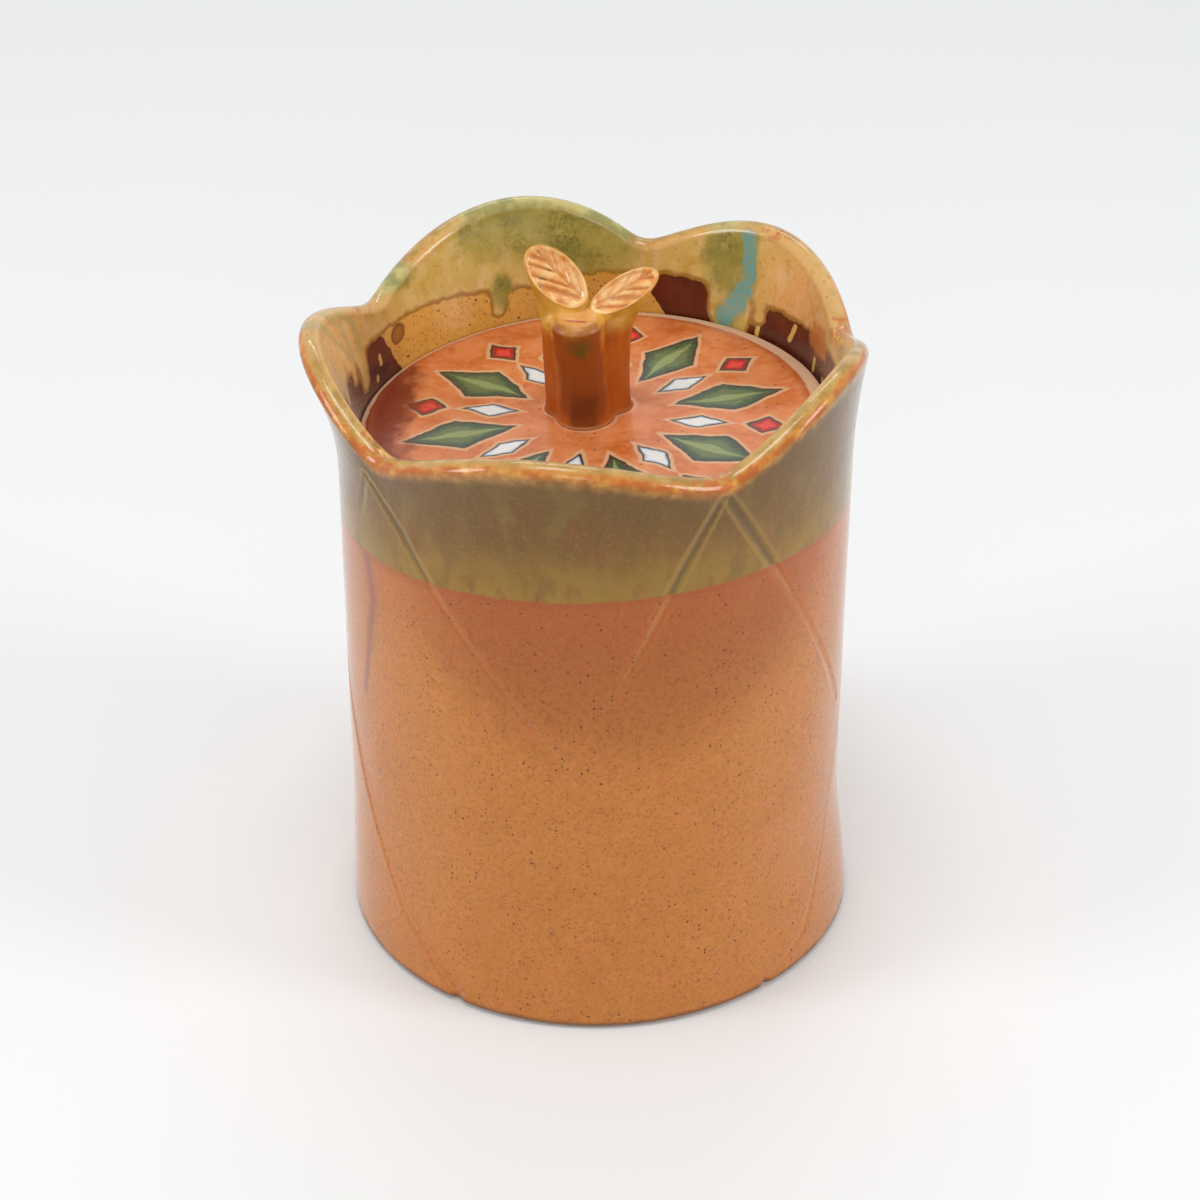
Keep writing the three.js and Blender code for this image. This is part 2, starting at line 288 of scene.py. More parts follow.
def smoothstep(low, high, values):
    share = np.clip((values - low) / (high - low), 0, 1)
    return share * share * (3 - 2 * share)


def line(start, end, step):
    """Points from start up to but not including end, about one step apart."""
    start, end = np.array(start, float), np.array(end, float)
    count = max(1, round(np.linalg.norm(end - start) / step))
    return start + (end - start) * (np.arange(count) / count)[:, None]


def arc(radius, height, size, start, end, steps, squash=1):
    """Points on a circle, flattened by squash, without the last one."""
    turn = np.radians(start + (end - start) * np.arange(steps) / steps)
    return np.stack((radius + size * np.cos(turn), height + squash * size * np.sin(turn)), axis=1)


def bent(start, corner, end, share):
    """A curve that leaves start towards a corner and comes from there to end."""
    return (1 - share) ** 2 * start + 2 * share * (1 - share) * corner + share ** 2 * end


def rounded(corners, size):
    """A closed section through the corners, each rounded off by a size."""
    corners = np.array(corners, float)
    onward = np.roll(corners, -1, axis=0) - corners
    onward = size * onward / np.linalg.norm(onward, axis=1)[:, None]
    starts = corners - np.roll(onward, 1, axis=0)
    ends = corners + onward
    parts = []
    for start, corner, end, following in zip(starts, corners, ends, np.roll(starts, -1, axis=0)):
        parts += [bent(start, corner, end, np.linspace(0, 1, 6)[:-1, None]), line(end, following, 1.2)]
    return np.concatenate(parts)


def around(radius, angles, heights):
    """Points at radii, angles and heights, given as [row, column]."""
    turn = np.radians(angles)
    return np.stack((radius * np.sin(turn), -radius * np.cos(turn), heights + 0 * turn), axis=2)


def all_round(columns):
    """Angles of the columns of a turned mesh, as one row."""
    return (np.arange(columns) * 360 / columns - 180)[None, :]


def turned(section, columns):
    """Turns [radius, height] points round the Z axis."""
    return around(section[:, :1], all_round(columns), section[:, 1:])


def add_object(name, data):
    thing = bpy.data.objects.new(name, data)
    bpy.context.scene.collection.objects.link(thing)
    return thing


def make_piece(name, points, faces, body, nodes, material, masks=None):
    """A smooth mesh piece from points in millimetres, riding on a body in place of some nodes."""
    mesh = bpy.data.meshes.new(name)
    mesh.from_pydata((points * MM).tolist(), [], faces)
    mesh.polygons.foreach_set("use_smooth", np.ones(len(mesh.polygons), bool))
    for mask, values in (masks or {}).items():
        attribute = mesh.attributes.new(mask, "FLOAT", "POINT")
        attribute.data.foreach_set("value", np.ascontiguousarray(values, np.float32).ravel())
    mesh.materials.append(material)
    mesh.update()
    piece = add_object(name, mesh)
    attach(piece, body)
    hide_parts(*nodes)


def ring_faces(rows, columns):
    """Faces of a turned section that closes on itself."""
    row, column = np.meshgrid(np.arange(rows), np.arange(columns), indexing="ij")
    up, round_ = (row + 1) % rows, (column + 1) % columns
    corners = (row * columns + column, row * columns + round_, up * columns + round_, up * columns + column)
    return np.stack(corners, axis=2).reshape(-1, 4).tolist()


def capped(grid, first, last):
    """Points and faces of stacked rings that close on a point at each end."""
    rows, columns = grid.shape[:2]
    points = np.concatenate((grid.reshape(-1, 3), [first, last]))
    faces = ring_faces(rows, columns)[: (rows - 1) * columns]
    for column in range(columns):
        after = (column + 1) % columns
        faces.append((rows * columns, after, column))
        faces.append((rows * columns + 1, (rows - 1) * columns + column, (rows - 1) * columns + after))
    return points, faces


def disc(section, columns):
    """Points and faces of a turned section that starts and ends on the axis."""
    return capped(turned(section[1:-1], columns), (0, 0, section[0, 1]), (0, 0, section[-1, 1]))


def placed(points, matrix):
    """Points in millimetres moved by a matrix."""
    matrix = np.array(matrix)
    return points @ matrix[:3, :3].T + matrix[:3, 3]


def softened(values, width):
    """Values round the rim, blurred over a width in degrees."""
    waves = np.arange(len(values) // 2 + 1)
    fade = np.exp(-0.5 * (waves * math.radians(width)) ** 2)
    return np.fft.irfft(np.fft.rfft(values) * fade, len(values))


def rim_curves(angles):
    """The rim's rise above RIM_HEIGHT and its lean outward at each angle."""
    rise, flare = np.zeros_like(angles), np.zeros_like(angles)
    for lobe, following in zip(LOBES, LOBES[1:] + LOBES[:1]):
        dip_angle, dip_height, lobe_rise, lobe_flare, skew = lobe
        along = (angles - dip_angle) % 360 / ((following[0] - dip_angle) % 360)
        here = along < 1
        along = along[here]
        swell = np.sin(math.pi * along ** skew)
        dips = dip_height + (following[1] - dip_height) * along
        rise[here] = dips + lobe_rise * swell ** LOBE_POINT
        flare[here] = DIP_FLARE + lobe_flare * swell
    return softened(rise, RIM_SOFTENING), softened(flare, RIM_SOFTENING)


def path_distance(angles, heights, path):
    """Distance along the wall to a path of (angle, height) points, and the share of it passed there."""
    nearest = np.full_like(heights, 1e9)
    passed = np.zeros_like(heights)
    per_degree = math.radians(WALL_RADIUS)
    for index, ((angle, height), (end_angle, end_height)) in enumerate(zip(path, path[1:])):
        across = ((angles - angle + 180) % 360 - 180) * per_degree
        up = heights - height
        run = (end_angle - angle) * per_degree
        climb = end_height - height
        share = np.clip((across * run + up * climb) / (run ** 2 + climb ** 2), 0, 1)
        distance = np.hypot(across - share * run, up - share * climb)
        passed = np.where(distance < nearest, (index + share) / (len(path) - 1), passed)
        nearest = np.minimum(nearest, distance)
    return nearest, passed


def waves(angles, heights, table):
    """The sum of some slow waves round the canister."""
    turn = np.radians(angles)
    return sum(size * np.sin(count * turn + start + drift * heights) for size, count, start, drift in table)


def wall_section():
    """The wall's section before its rim is shaped, and the index of the lip's crest."""
    lip = arc(WALL_RADIUS - LIP, LIP_HEIGHT, LIP, 0, 180, 18)
    foot = WALL_RADIUS - FOOT_UNDERCUT
    parts = (
        line((INNER_RADIUS, 0), (foot, 0), 1),
        arc(foot, FOOT_ROUND, FOOT_UNDERCUT, -90, 0, 14, FOOT_ROUND / FOOT_UNDERCUT),
        line((WALL_RADIUS, FOOT_ROUND), (WALL_RADIUS, LIP_HEIGHT), 0.65),
        lip,
        line((INNER_RADIUS, LIP_HEIGHT), (INNER_RADIUS, WELL_TOP), 0.7),
        line((INNER_RADIUS, WELL_TOP), (INNER_RADIUS, 0), 3),
    )
    crest = sum(len(part) for part in parts[:3]) + len(lip) // 2
    return np.concatenate(parts), crest


def patches(angles, heights, places):
    """Soft patches, the strongest one at each point."""
    strength = np.zeros_like(heights)
    for angle, height, half_width, half_height in places:
        away = (angles - angle + 180) % 360 - 180
        patch = np.exp(-(away / half_width) ** 2 - ((heights - height) / half_height) ** 2)
        strength = np.maximum(strength, patch)
    return strength


def strokes(angles, heights, paths, half_width):
    """How far each point is inside the nearest of some brush strokes."""
    inside = np.full_like(heights, -1e3)
    for path in paths:
        inside = np.maximum(inside, half_width - path_distance(angles, heights, path)[0])
    return inside


def inside_masks(angles, heights):
    """Glaze on the inside: height above its dripping edge, and the other colours."""
    drip = heights - DRIP_LEVEL - waves(angles, heights, DRIP_WAVES)
    for angle, half_width, length in DRIP_RUNS:
        path = ((angle, DRIP_LEVEL + RUN_ROOT), (angle, DRIP_LEVEL + half_width - length))
        run = strokes(angles, heights, [path], half_width)
        drip = (drip + run + np.hypot(drip - run, DRIP_FILLET)) / 2
    per_degree = math.radians(INNER_RADIUS)
    chocolate = np.full_like(heights, -1e3)
    slant = CHOCOLATE_SLANT * (DRIP_LEVEL - heights) / per_degree
    for middle, half_width in CHOCOLATE_ZONES:
        away = np.abs((angles - middle - slant + 180) % 360 - 180)
        chocolate = np.maximum(chocolate, (half_width - away) * per_degree)
    masks = {"drip": drip, "chocolate": chocolate}
    for name, places in PATCHES.items():
        masks[name] = patches(angles, heights, places)
    for name, (half_width, paths) in STROKES.items():
        masks[name] = strokes(angles, heights, paths, half_width)
    return masks


def outside_masks(angles, heights):
    """Glaze on the outside: height above the dip's edge, the redder patch and the pink streak."""
    edge = OLIVE_LEVEL + OLIVE_SWING * np.cos(np.radians(angles - OLIVE_HIGH_ANGLE))
    middle, level, half_width, half_height = TONE_PATCH
    tone = 1 - np.hypot((angles - middle) / half_width, (heights - level) / half_height)
    streak, passed = path_distance(angles, heights, PINK_STREAK)
    wide, narrow = STREAK_HALF_WIDTHS
    return {
        "olive": heights - edge,
        "tone": tone * half_height,
        "streak": np.exp(-(streak / (wide + (narrow - wide) * passed)) ** 2),
    }


def scored(angles, heights):
    """How deep each point is scored, and the depth of a line whose raised edge is there."""
    cut = ridge = np.zeros_like(heights)
    for path, start_depth, end_depth in SCORES:
        distance, passed = path_distance(angles, heights, path)
        distance = np.abs(distance + SCORE_WANDER * np.sin(SCORE_WANDER_RATE * passed + path[0][0]))
        depth = start_depth + (end_depth - start_depth) * passed
        cut = np.maximum(cut, depth * np.exp(-(distance / SCORE_HALF_WIDTH) ** 2))
        ridge = np.maximum(ridge, depth * np.exp(-((distance - RIDGE_AWAY) / RIDGE_HALF_WIDTH) ** 2))
    return cut, ridge


def wall(material):
    """The wall with its cut rim, scored lines and hand-made unevenness."""
    section, crest_row = wall_section()
    angles = all_round(WALL_COLUMNS)
    rise, flare = rim_curves(angles[0])
    height = section[:, 1:] + 0 * angles
    outside = smoothstep(-CREST_BLEND, CREST_BLEND, section[:, :1] - (WALL_RADIUS - LIP))
    share = np.clip((height - FLARE_START) / (LIP_HEIGHT - FLARE_START), 0, 1)
    sag = FOOT_SAG * np.maximum(0, np.cos(np.radians(angles - FOOT_SAG_ANGLE))) ** 4
    swell = (FOOT_SWELL + sag) * (1 - smoothstep(0, FOOT_HEIGHT, height))
    uneven = waves(angles, height, SLAB_WAVES) * (1 - share) * smoothstep(0, WAVES_FADE, height)
    uneven = uneven * (INSIDE_WAVES + (1 - INSIDE_WAVES) * outside)
    height = height + rise * share
    radius = section[:, :1] + flare * share ** 2 + outside * (swell - SURFACE_INSET) + uneven

    cut, ridge = scored(angles, height)
    below_lip = outside * smoothstep(*SCORED_ROWS, np.arange(len(section))[:, None] - crest_row)
    chip = CHIP_DEPTH * patches(angles, height, FOOT_CHIPS)
    radius = radius - below_lip * (np.maximum(cut, chip) - RIDGE_HEIGHT * ridge)

    along = np.cumsum(np.linalg.norm(np.diff(section, axis=0, prepend=section[:1]), axis=1))
    crest = (along - along[crest_row])[:, None] + 0 * angles
    masks = {"crest": crest, "cut": cut, "ridge": ridge}
    masks |= outside_masks(angles, height) | inside_masks(angles, height)
    points = around(radius, angles, height).reshape(-1, 3)
    faces = ring_faces(len(section), WALL_COLUMNS)
    make_piece("wall", points, faces, "canister", ["wall_slab"], material, masks)


def ring(name, section, seat, body, node, material):
    """A turned section that closes on itself, lying in a seat."""
    points = placed(turned(section, RING_COLUMNS).reshape(-1, 3), seat)
    make_piece(name, points, ring_faces(len(section), RING_COLUMNS), body, [node], material)


def floor_pieces(clay, liner):
    """The base slab and the coil that closes its inside corner."""
    base = np.concatenate((
        line((0, 0), (LINED_RADIUS - BASE_ROUND, 0), 3),
        arc(LINED_RADIUS - BASE_ROUND, BASE_ROUND, BASE_ROUND, -90, 0, 4),
        line((LINED_RADIUS, BASE_ROUND), (LINED_RADIUS, BASE_THICKNESS), 2),
        line((LINED_RADIUS, BASE_THICKNESS), (0, BASE_THICKNESS), 3),
        [(0, BASE_THICKNESS)],
    ))
    points, faces = disc(base, RING_COLUMNS)
    make_piece("base", points, faces, "canister", ["base_slab"], clay)
    size = COIL_TOP - COIL_FOOT
    coil = np.concatenate((
        line((LINED_RADIUS, COIL_FOOT), (LINED_RADIUS, COIL_TOP), 1),
        arc(LINED_RADIUS - size, COIL_TOP, size, 0, -90, 10),
        line((LINED_RADIUS - size, COIL_FOOT), (LINED_RADIUS, COIL_FOOT), 1),
    ))
    ring("coil", coil, Matrix(), "canister", "corner_coil", liner)


def ledge_and_flange(clay, liner):
    """The lid's ledge and flange, both in its leaning seat."""
    ledge = rounded((
        (LEDGE_BORE, -LEDGE_LIP), (LEDGE_RADIUS, -LEDGE_HEIGHT), (LEDGE_RADIUS, 0), (LEDGE_BORE, 0),
    ), LEDGE_ROUND)
    ring("ledge", ledge, SEAT, "canister", "lid_ledge", liner)
    bore = FLANGE_RADIUS - FLANGE_THICKNESS
    flange = rounded((
        (bore, -FLANGE_DEPTH), (FLANGE_RADIUS, -FLANGE_DEPTH), (FLANGE_RADIUS, 0), (bore, 0),
    ), FLANGE_ROUND)
    ring("flange", flange, SEAT, "lid", "lid_flange", clay)


def lid(material):
    """The flat lid: a bare bevelled edge round a slightly pillowed glazed face."""
    glazed = LID_EDGE - LID_BARE_WIDTH
    face_radius = np.linspace(glazed, 0, LID_FACE_ROWS)[:, None]
    risen = 1 - (1 - np.minimum(1, (glazed - face_radius) / LID_PILLOW_WIDTH)) ** 3
    face = np.concatenate((face_radius, LID_TOP + LID_PILLOW * risen - LID_FACE_DROP), axis=1)
    foot = LID_EDGE - LID_FOOT_ROUND
    bevel = LID_EDGE - LID_BEVEL_DROP
    shoulder = LID_TOP - 2 * LID_BEVEL_DROP
    section = np.concatenate((
        line((0, JOINT_GAP), (foot, JOINT_GAP), 3),
        arc(foot, JOINT_GAP + LID_FOOT_ROUND, LID_FOOT_ROUND, -90, 0, 5),
        line((LID_EDGE, JOINT_GAP + LID_FOOT_ROUND), (LID_EDGE, shoulder), 0.8),
        arc(bevel, shoulder, LID_BEVEL_DROP, 0, 90, 5),
        line((bevel, LID_TOP - LID_BEVEL_DROP), (glazed, LID_TOP - LID_FACE_DROP), 0.4),
        face,
    ))
    points, faces = disc(section, LID_COLUMNS)
    reach = np.hypot(points[:, 0], points[:, 1])
    points[:, 0] += LID_FACE_SHIFT * (points[:, 2] > shoulder) * smoothstep(bevel, glazed, reach)
    make_piece("lid", placed(points, SEAT), faces, "lid", ["lid_disc"], material)


def face_axes(side, along, across):
    """A cut face's half axes to the right and to the back, and the way it looks."""
    right, back = (across, along) if side < 0 else (along, across)
    facing = np.cross(right, back)
    return np.array(right), np.array(back), facing / np.linalg.norm(facing)


def foot_spread(height):
    """How far the clay is smeared out where a stalk stands on the lid."""
    return FOOT_SMEAR * np.exp(-height / FOOT_SMEAR_HEIGHT)


def leaf(side, middle, along, across):
    """Points and faces of a leaf: a round stalk that spreads upward and is cut slanting."""
    right, back, facing = face_axes(side, along, across)
    turn = np.arange(KNOB_COLUMNS)[:, None] * 2 * math.pi / KNOB_COLUMNS
    circle = LEAF_STALK_RADIUS * np.concatenate((np.cos(turn), np.sin(turn), 0 * turn), axis=1)
    outline = right * np.cos(turn) + back * np.sin(turn)
    middle = np.array(middle)
    foot = np.array((KNOB_X + side * LEAF_STALK_SPACING / 2, KNOB_Y, 0))
    bend = np.array((foot[0], foot[1], LEAF_BEND * middle[2]))
    rings = []
    for share in np.linspace(0, 1, STALK_ROWS):
        centre = bent(foot, bend, middle, share)
        spread = smoothstep(LEAF_SPREAD, 1, share)
        smeared = 1 + foot_spread(centre[2]) / LEAF_STALK_RADIUS
        rings.append(centre + (1 - spread) * smeared * circle + spread * outline)
    reach, rise = np.array(FACE_RELIEF).T
    for size in np.linspace(1, 0, FACE_STEPS + 1)[1:-1]:
        rings.append(middle + size * outline + np.interp(size, reach, rise) * facing)
    return capped(np.stack(rings), foot, middle + rise[0] * facing)


def stalk_x(height):
    """Where the front stalk's middle is at a height, because it leans."""
    return KNOB_X + STALK_SIDE + STALK_LEAN * height


def front_stalk():
    """Points and faces of the cut front stalk."""
    side = np.linspace(0, STALK_HEIGHT - STALK_ROUND, STALK_ROWS)
    waist = STALK_WAIST * np.sin(math.pi * side / STALK_HEIGHT)
    shaft = np.stack((STALK_RADIUS - waist + foot_spread(side), side), axis=1)
    rim = STALK_RADIUS - STALK_ROUND
    top = (0, STALK_HEIGHT - STALK_DISH)
    shoulder = arc(rim, STALK_HEIGHT - STALK_ROUND, STALK_ROUND, 0, 90, 12)[1:]
    section = np.concatenate((shaft, shoulder, line((rim, STALK_HEIGHT), top, 0.25)))
    grid = turned(section, KNOB_COLUMNS)
    grid[:, :, 0] += stalk_x(grid[:, :, 2])
    grid[:, :, 1] += STALK_Y
    return capped(grid, (stalk_x(0), STALK_Y, 0), (stalk_x(top[1]), STALK_Y, top[1]))


def normals_of(points, faces):
    """The outward direction at each point of a closed surface."""
    mesh = bpy.data.meshes.new("surface")
    mesh.from_pydata(points.tolist(), [], faces)
    normals = np.empty(points.size, np.float32)
    mesh.vertices.foreach_get("normal", normals)
    bpy.data.meshes.remove(mesh)
    return normals.reshape(-1, 3)


def welded(bodies):
    """Bodies that swell where they meet, so that their clay runs together."""
    trees = [BVHTree.FromPolygons(points.tolist(), faces) for points, faces in bodies]
    result = []
    for own, (points, faces) in zip(trees, bodies):
        others = [tree for tree in trees if tree is not own]
        away = [min(tree.find_nearest(Vector(point))[3] for tree in others) for point in points]
        swell = np.maximum(0, WELD - np.array(away)) ** 2 / (4 * WELD)
        result.append((points + swell[:, None] * normals_of(points, faces), faces))
    return result


def leaf_veins(points, side, middle, along, across):
    """How far each point is on a leaf's cut face, and how deep the veins are pressed in there."""
    right, back, facing = face_axes(side, along, across)
    from_middle = points - middle
    out_right, out_back, above = (from_middle @ np.linalg.inv(np.stack((right, back, facing)))).T
    reach = np.hypot(out_right, out_back)
    on_face = smoothstep(*FACE_EDGE, reach) * (above > -FACE_SKIN)
    midrib = np.array(along) / np.linalg.norm(along)
    run = from_middle @ midrib
    signed = (from_middle - MIDRIB_ASIDE * np.array(across)) @ np.cross(facing, midrib)
    aside = np.abs(signed)
    phase = (run - VEIN_SWEEP * aside) / VEIN_SPACING
    phase = phase + VEIN_WANDER * np.sin(VEIN_WANDER_RATE * phase + side)
    from_side_vein = np.abs(phase - np.round(phase)) * VEIN_SPACING / math.hypot(1, VEIN_SWEEP)
    from_vein = np.minimum(from_side_vein, aside)
    outer_half = smoothstep(-MIDRIB_BLEND, MIDRIB_BLEND, -side * signed)
    veins = np.exp(-(from_vein / VEIN_HALF_WIDTH) ** 2) * smoothstep(*VEIN_ENDS, reach)
    veins = veins * (INNER_VEINS + (1 - INNER_VEINS) * outer_half)
    return on_face, on_face * veins


def stalk_marks(points):
    """How far each point is on the front stalk's cut top, in the top's crease and in the olive run."""
    x, y, z = points.T
    x = x - stalk_x(z)
    y = y - STALK_Y
    inward = STALK_RADIUS - np.hypot(x, y)
    on_top = smoothstep(*CUT_TOP_EDGE, inward) * (z > STALK_HEIGHT / 2)
    from_crease = y + CREASE_FRONT + CREASE_SLOPE * x
    crease = np.exp(-(from_crease / CREASE_HALF_WIDTH) ** 2 - (x / CREASE_HALF_LENGTH) ** 2)
    half_width = RUN_POINT_HALF_WIDTH + RUN_WIDENING * np.maximum(0, z - RUN_POINT_LEVEL)
    run = np.exp(-((x - RUN_SIDE) / half_width) ** 2 - ((z - RUN_LEVEL) / RUN_HALF_HEIGHT) ** 2) * (y < 0)
    return on_top, on_top * crease, run


def knob(material):
    """The sprout knob: a cut stalk and two veined leaves pressed together."""
    stalk, *leaves = welded([front_stalk()] + [leaf(*shape) for shape in LEAVES])
    foot = SEAT @ Matrix.Translation((0, 0, LID_TOP))
    points, faces = stalk
    on_top, crease, run = stalk_marks(points)
    masks = {"climb": points[:, 2], "cut_top": on_top, "crease": crease, "run": run}
    points = placed(points - CREASE_DEPTH * crease[:, None] * normals_of(points, faces), foot)
    make_piece("stalk", points, faces, "lid", ["knob_stalk"], material, masks)
    for (points, faces), shape in zip(leaves, LEAVES):
        name = "left_leaf" if shape[0] < 0 else "right_leaf"
        blade, vein = leaf_veins(points, *shape)
        masks = {"climb": points[:, 2], "blade": blade, "vein": vein}
        points = placed(points - VEIN_DEPTH * vein[:, None] * normals_of(points, faces), foot)
        make_piece(name, points, faces, "lid", ["knob_" + name], material, masks)


class Nodes:
    """Adds nodes to a tree."""

    def __init__(self, tree):
        self.tree = tree

    def node(self, kind, settings, *inputs):
        """Adds a node, sets it up and fills inputs with sockets, plain values or masks by name."""
        node = self.tree.nodes.new(kind)
        for setting, value in settings.items():
            setattr(node, setting, value)
        for socket, value in inputs:
            if isinstance(value, str):
                value = self.mask(value)
            if isinstance(value, bpy.types.NodeSocket):
                self.tree.links.new(value, node.inputs[socket])
            elif value is not None:
                node.inputs[socket].default_value = value
        return node

    def mask(self, name):
        return self.node("ShaderNodeAttribute", {"attribute_name": name}).outputs["Fac"]

    def math(self, operation, first, second=None, third=None):
        inputs = ((0, first), (1, second), (2, third))
        return self.node("ShaderNodeMath", {"operation": operation}, *inputs).outputs[0]


class Shader(Nodes):
    """Builds one material's nodes. Each method returns a socket for the next one to take."""

    def __init__(self, name, **constants):
        self.material = bpy.data.materials.new(name)
        self.material.use_nodes = True
        super().__init__(self.material.node_tree)
        self.surface = self.tree.nodes["Principled BSDF"]
        for socket, value in constants.items():
            self.surface.inputs[socket.replace("_", " ")].default_value = value
        self.place = self.tree.nodes.new("ShaderNodeTexCoord").outputs["Object"]

    def vector(self, operation, *values):
        """A vector operation on sockets or plain vectors."""
        node = self.node("ShaderNodeVectorMath", {"operation": operation}, *enumerate(values))
        return node.outputs["Value" if operation in ("LENGTH", "DISTANCE") else "Vector"]

    def axis(self, name, place=None):
        """One coordinate of a place, in millimetres."""
        parts = self.node("ShaderNodeSeparateXYZ", {}, (0, place or self.place))
        return self.times(parts.outputs[name], 1 / MM)

    def add(self, first, second):
        return self.math("ADD", first, second)

    def times(self, first, second):
        return self.math("MULTIPLY", first, second)

    def between(self, value, low, high, most=1.0):
        """0 below low, most above high and a soft step between them."""
        settings = {"interpolation_type": "SMOOTHSTEP"}
        inputs = (("Value", value), ("From Min", low), ("From Max", high), ("To Max", most))
        return self.node("ShaderNodeMapRange", settings, *inputs).outputs[0]

    def mix(self, share, first, second):
        """A blend of two colours, each a socket or a plain colour."""
        colours = [c if isinstance(c, bpy.types.NodeSocket) else (*c, 1) for c in (first, second)]
        inputs = ((0, share), (6, colours[0]), (7, colours[1]))
        return self.node("ShaderNodeMix", {"data_type": "RGBA"}, *inputs).outputs[2]

    def fade(self, first, second, value, low, high, most=1.0):
        """The first colour, turning into the second as a value passes from low to high."""
        return self.mix(self.between(value, low, high, most), first, second)

    def noise(self, size, detail=2.0, squeeze=1, output="Fac"):
        """Noise in blotches about size millimetres across, drawn out upward by a squeeze below 1."""
        place = self.place if squeeze == 1 else self.vector("MULTIPLY", self.place, (1, 1, squeeze))
        inputs = (("Vector", place), ("Scale", 1 / (size * MM)), ("Detail", detail))
        return self.node("ShaderNodeTexNoise", {}, *inputs).outputs[output]

    def shaken(self, value, size, amount, detail=2.0):
        """A value pushed up and down by noise, by up to about amount."""
        return self.math("MULTIPLY_ADD", self.add(self.noise(size, detail), -0.5), 2 * amount, value)

    def specks(self, spacing, size, most=1.0):
        """Round specks at random places, some larger than others."""
        inputs = (("Vector", self.place), ("Scale", 1 / (spacing * MM)))
        cells = self.node("ShaderNodeTexVoronoi", {}, *inputs)
        chance = self.node("ShaderNodeSeparateColor", {}, (0, cells.outputs["Color"]))
        reach = self.times(chance.outputs[0], size / spacing)
        return self.between(cells.outputs["Distance"], reach, self.times(reach, 0.5), most)

    def paint(self, colour, relief, depth, roughness=None):
        """Feeds in the colour, a relief of a depth in millimetres and, if given, the roughness."""
        bump = self.node("ShaderNodeBump", {}, ("Height", relief), ("Distance", depth * MM))
        self.tree.links.new(bump.outputs[0], self.surface.inputs["Normal"])
        self.tree.links.new(colour, self.surface.inputs["Base Color"])
        if roughness:
            self.tree.links.new(roughness, self.surface.inputs["Roughness"])
        return self.material


def speckled(s, colour):
    """Iron specks in a glaze: many faint ones and clusters of dark ones."""
    colour = s.mix(s.specks(0.9, 0.4, 0.6), colour, (0.2, 0.05, 0.005))
    clusters = s.between(s.noise(9, 3), 0.3, 0.6, 0.95)
    return s.mix(s.specks(1.5, 0.46, clusters), colour, (0.075, 0.018, 0.0005))


def body_glaze(s):
    """Tan glaze, redder in front and under the dip, with flecks and scored lines."""
    body = s.mix(s.noise(15, 3), (0.46, 0.145, 0.012), (0.54, 0.19, 0.028))
    body = s.fade(body, (0.56, 0.17, 0.035), s.noise(7, 3), 0.5, 0.68, 0.5)
    body = s.fade(body, (0.6, 0.24, 0.055), s.noise(1.8, 4), 0.5, 0.72, 0.35)
    tone = s.between(s.shaken("tone", 6, 6, 5), -9, 12)
    body = s.fade(body, (0.31, 0.07, 0.004), "olive", -72, -8, s.times(tone, 0.85))
    body = s.fade(body, (0.46, 0.15, 0.008), s.noise(0.7, 4), 0.48, 0.66, s.times(tone, 0.4))
    body = s.fade(body, (0.28, 0.05, 0.004), s.noise(1.3, 5), 0.5, 0.66, s.times(tone, 0.55))
    body = s.fade(body, (0.4, 0.08, 0.012), s.shaken("olive", 9, 7, 3), -28, 2, 0.5)
    body = s.fade(body, (0.34, 0.1, 0.008), s.noise(0.9, 4), 0.45, 0.68, 0.5)
    body = s.fade(body, (0.52, 0.11, 0.015), s.noise(1.3, 3, 0.4), 0.6, 0.74, 0.5)
    body = s.mix(s.times("streak", 0.9), body, (0.27, 0.07, 0.035))
    body = s.fade(body, (0.5, 0.11, 0.012), "ridge", 0.05, 0.4, 0.4)
    body = s.fade(body, (0.57, 0.24, 0.06), "cut", 0.08, 0.4, 0.4)
    body = s.fade(body, (0.42, 0.12, 0.006), "cut", 0.4, 0.65, 0.8)
    return speckled(s, body)


def dip_glaze(s):
    """The olive dip: yellow and grainy at its lower edge, cloudy and darker above."""
    olive = s.fade((0.29, 0.15, 0.012), (0.155, 0.068, 0.004), s.shaken("olive", 8, 5, 3), -2, 19)
    smudges = s.noise(6, 4, 0.45)
    olive = s.fade(olive, (0.12, 0.055, 0.005), smudges, 0.5, 0.7, 0.5)
    olive = s.fade(olive, (0.22, 0.135, 0.02), smudges, 0.5, 0.3, 0.5)
    olive = s.fade(olive, (0.19, 0.058, 0.005), s.noise(5, 4, 0.5), 0.54, 0.72, 0.6)
    olive = s.fade(olive, (0.3, 0.19, 0.04), s.noise(0.7, 4), 0.5, 0.7, 0.3)
    olive = s.fade(olive, (0.1, 0.045, 0.003), "crest", -16, -6, 0.35)
    olive = s.fade(olive, (0.34, 0.2, 0.035), "ridge", 0.08, 0.4, 0.5)
    return s.fade(olive, (0.1, 0.062, 0.016), "cut", 0.12, 0.4, 0.7)


def streaked(s, colour):
    """Thin green streaks that have run down the glaze."""
    return s.fade(colour, (0.25, 0.31, 0.13), s.shaken("streaks", 2.5, 0.8, 3), -1.1, 1.4, 0.5)


